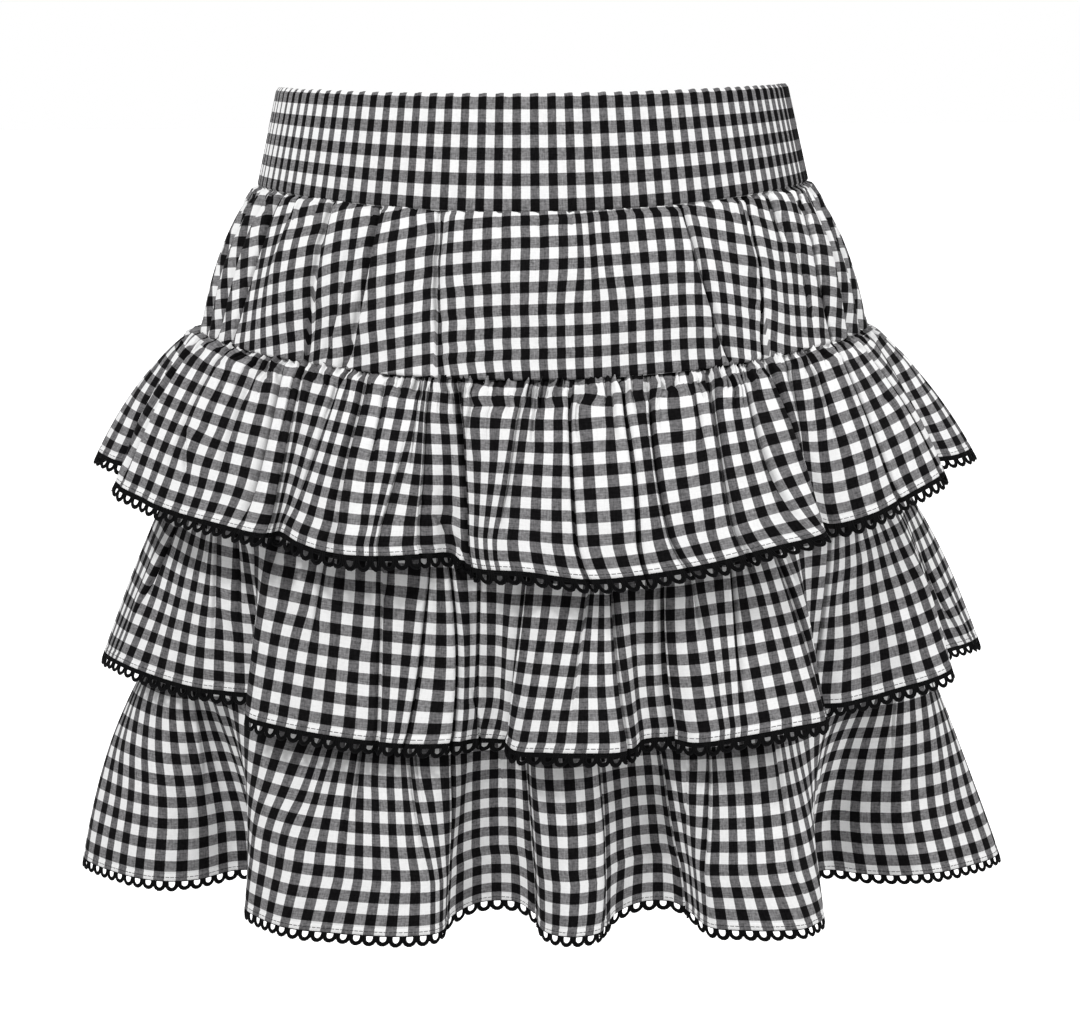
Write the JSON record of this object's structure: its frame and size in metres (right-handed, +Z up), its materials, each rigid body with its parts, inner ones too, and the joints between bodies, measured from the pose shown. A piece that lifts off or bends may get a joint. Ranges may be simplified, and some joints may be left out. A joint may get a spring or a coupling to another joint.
{
  "type": "skort",
  "caption": "Hollow tiered mini skort: wide elastic waistband, smooth yoke, gathered check ruffles edged with scalloped lace, and plain inner shorts.",
  "frame": {"origin": "on the vertical axis of the waist, level with the top of the waistband at the side seams", "axes": "+Z up, the front of the skort faces -Y, and +X is to the right of someone who looks at its front"},
  "size_m": [0.5607, 0.3367, 0.4694],
  "materials": {
    "gingham": "matte woven cotton, black and white check",
    "lace": "matte black scalloped trim",
    "jersey": "matte black knit"
  },
  "bodies": {
    "root": {"waistband_front": "gingham", "waistband_back": "gingham", "yoke_front": "gingham", "yoke_back": "gingham", "base_front": "gingham", "base_back": "gingham", "ruffle_1_front": "gingham", "ruffle_1_back": "gingham", "ruffle_2_front": "gingham", "ruffle_2_back": "gingham", "ruffle_3_front": "gingham", "ruffle_3_back": "gingham", "lace_1": "lace", "lace_2": "lace", "lace_3": "lace", "shorts_left": "jersey", "shorts_right": "jersey"}
  },
  "joints": []
}
